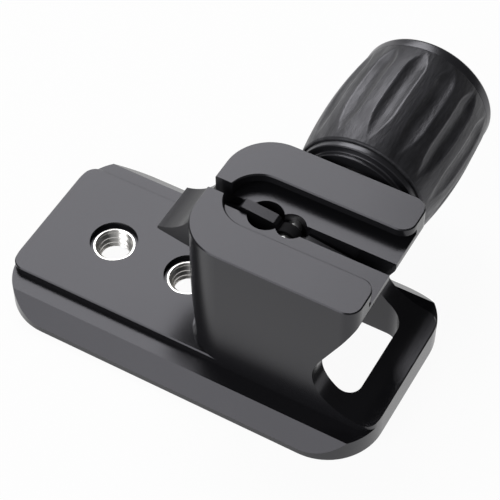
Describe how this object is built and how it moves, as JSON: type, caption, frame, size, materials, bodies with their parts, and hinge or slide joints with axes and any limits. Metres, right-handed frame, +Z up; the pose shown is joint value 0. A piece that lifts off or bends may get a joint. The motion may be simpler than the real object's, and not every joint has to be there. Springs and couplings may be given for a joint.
{
  "type": "lens quick release plate",
  "caption": "Dovetail lens foot with a leaning neck, a split T-slot clamp closed by a fluted side knob, and a sprung catch lever with a thumb tab.",
  "frame": {"origin": "centre of the plate's flat bottom face", "axes": "+X along the plate towards the clamp head, +Y towards the knob, +Z up"},
  "size_m": [0.0692, 0.0606, 0.0367],
  "materials": {
    "anodised_body": "black anodised, fine satin",
    "thread_insert": "bright turned steel",
    "washer_steel": "blackened steel",
    "knob_metal": "black anodised, glossy turned",
    "grip_rubber": "moulded black rubber",
    "screw_steel": "black oxide steel",
    "lever_steel": "blackened steel, satin",
    "pin_steel": "ground steel",
    "spring_steel": "drawn spring wire"
  },
  "bodies": {
    "foot": {"foot_body": "anodised_body", "front_thread_insert": "thread_insert", "rear_thread_insert": "thread_insert", "lever_pivot_pin": "pin_steel", "lever_spring": "spring_steel"},
    "washer": {"thrust_washer": "washer_steel"},
    "knob": {"knob_core": "knob_metal", "knob_grip": "grip_rubber", "knob_end_ring": "knob_metal", "knob_cap": "knob_metal", "clamp_screw": "screw_steel"},
    "lever": {"release_lever": "lever_steel"}
  },
  "joints": [
    {"name": "knob_travel", "type": "slide", "parent": "foot", "child": "washer", "axis": [0, 1, 0], "range_m": [0, 0.0016]},
    {"name": "knob_turn", "type": "hinge", "parent": "washer", "child": "knob", "pos_m": [0.0166, 0.02, 0.0243], "axis": [0, 1, 0], "range_deg": [0, 720]},
    {"name": "lever_press", "type": "hinge", "parent": "foot", "child": "lever", "pos_m": [0.0121, 0, 0.0275], "axis": [0, -1, 0], "range_deg": [0, 7], "stiffness_Nm_per_rad": 0.02, "springref_deg": -6.88, "deforming": ["lever_spring"]}
  ],
  "couplings": [
    {"joint": "knob_turn", "follows": "knob_travel", "rad_per_m": 7854}
  ]
}
